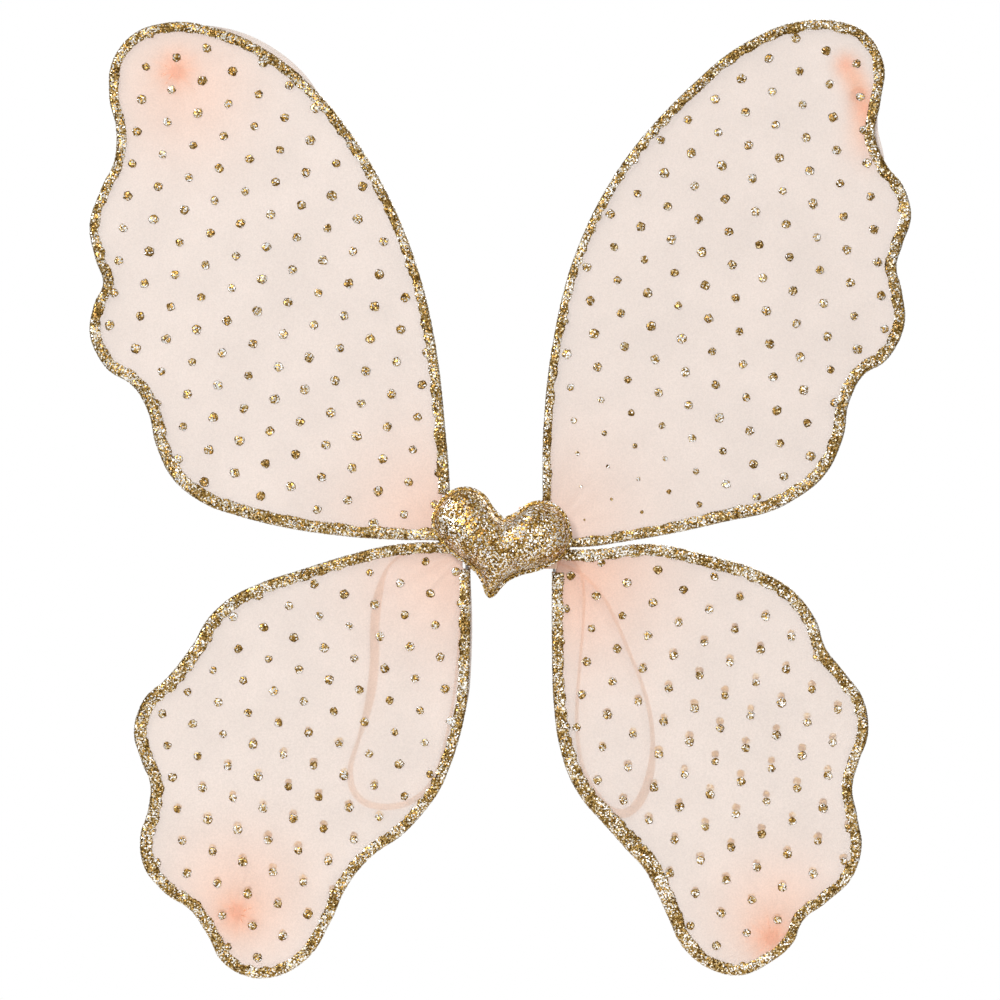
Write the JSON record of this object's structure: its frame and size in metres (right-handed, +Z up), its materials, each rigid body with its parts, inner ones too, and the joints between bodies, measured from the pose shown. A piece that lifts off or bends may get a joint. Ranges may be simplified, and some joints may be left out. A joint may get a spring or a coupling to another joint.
{
  "type": "costume fairy wings",
  "caption": "Child's fairy wings: sheer nylon wire-frame wings with glitter edges, hinged on a padded hub with a stuffed glitter heart and elastic shoulder loops.",
  "frame": {"origin": "centre of the back pad's rear face, where it rests between the wearer's shoulder blades", "axes": "+Z up as worn, +Y towards the wearer's back, -Y the showy side with the heart, +X the right wing seen from the heart side"},
  "size_m": [0.3991, 0.025, 0.4659],
  "materials": {
    "wire": "satin",
    "crimp": "satin",
    "nylon": "sheer knit",
    "glitter": "glitter",
    "glitter_cloth": "glitter",
    "felt": "felt",
    "foam": "foam",
    "stuffing": "fibre",
    "card": "card",
    "elastic": "woven elastic",
    "tape": "woven tape",
    "gold_thread": "metallic thread"
  },
  "bodies": {
    "hub": {"back_pad_felt": "felt", "back_pad_foam": "foam", "hub_board": "card", "heart_glue_pad": "foam", "hub_stitches": "gold_thread", "heart_back_cloth": "felt", "heart_face_cloth": "glitter_cloth", "heart_stuffing": "stuffing", "heart_topstitch": "gold_thread", "left_shoulder_strap": "elastic", "right_shoulder_strap": "elastic", "left_strap_knot": "elastic", "right_strap_knot": "elastic", "upper_left_tape_hinge": "tape", "upper_right_tape_hinge": "tape", "lower_left_tape_hinge": "tape", "lower_right_tape_hinge": "tape"},
    "upper_left_wing": {"upper_left_wire_frame": "wire", "upper_left_wire_crimp": "crimp", "upper_left_nylon_cover": "nylon", "upper_left_glitter_border": "glitter", "upper_left_tip_gather": "nylon", "upper_left_gather_tie": "gold_thread"},
    "upper_right_wing": {"upper_right_wire_frame": "wire", "upper_right_wire_crimp": "crimp", "upper_right_nylon_cover": "nylon", "upper_right_glitter_border": "glitter", "upper_right_tip_gather": "nylon", "upper_right_gather_tie": "gold_thread"},
    "lower_left_wing": {"lower_left_wire_frame": "wire", "lower_left_wire_crimp": "crimp", "lower_left_nylon_cover": "nylon", "lower_left_glitter_border": "glitter", "lower_left_tip_gather": "nylon", "lower_left_gather_tie": "gold_thread"},
    "lower_right_wing": {"lower_right_wire_frame": "wire", "lower_right_wire_crimp": "crimp", "lower_right_nylon_cover": "nylon", "lower_right_glitter_border": "glitter", "lower_right_tip_gather": "nylon", "lower_right_gather_tie": "gold_thread"}
  },
  "joints": [
    {"name": "upper_left_fold", "type": "hinge", "parent": "hub", "child": "upper_left_wing", "pos_m": [-0.029, -0.007, 0.015], "axis": [0, 0, -1], "range_deg": [-10, 90]},
    {"name": "upper_right_fold", "type": "hinge", "parent": "hub", "child": "upper_right_wing", "pos_m": [0.019, -0.007, 0.012], "axis": [0, 0, 1], "range_deg": [-10, 90]},
    {"name": "lower_left_fold", "type": "hinge", "parent": "hub", "child": "lower_left_wing", "pos_m": [-0.019, -0.007, -0.00635], "axis": [0, 0, -1], "range_deg": [-10, 90], "deforming": ["left_shoulder_strap"]},
    {"name": "lower_right_fold", "type": "hinge", "parent": "hub", "child": "lower_right_wing", "pos_m": [0.0235, -0.007, -0.00935], "axis": [0, 0, 1], "range_deg": [-10, 90], "deforming": ["right_shoulder_strap"]}
  ]
}
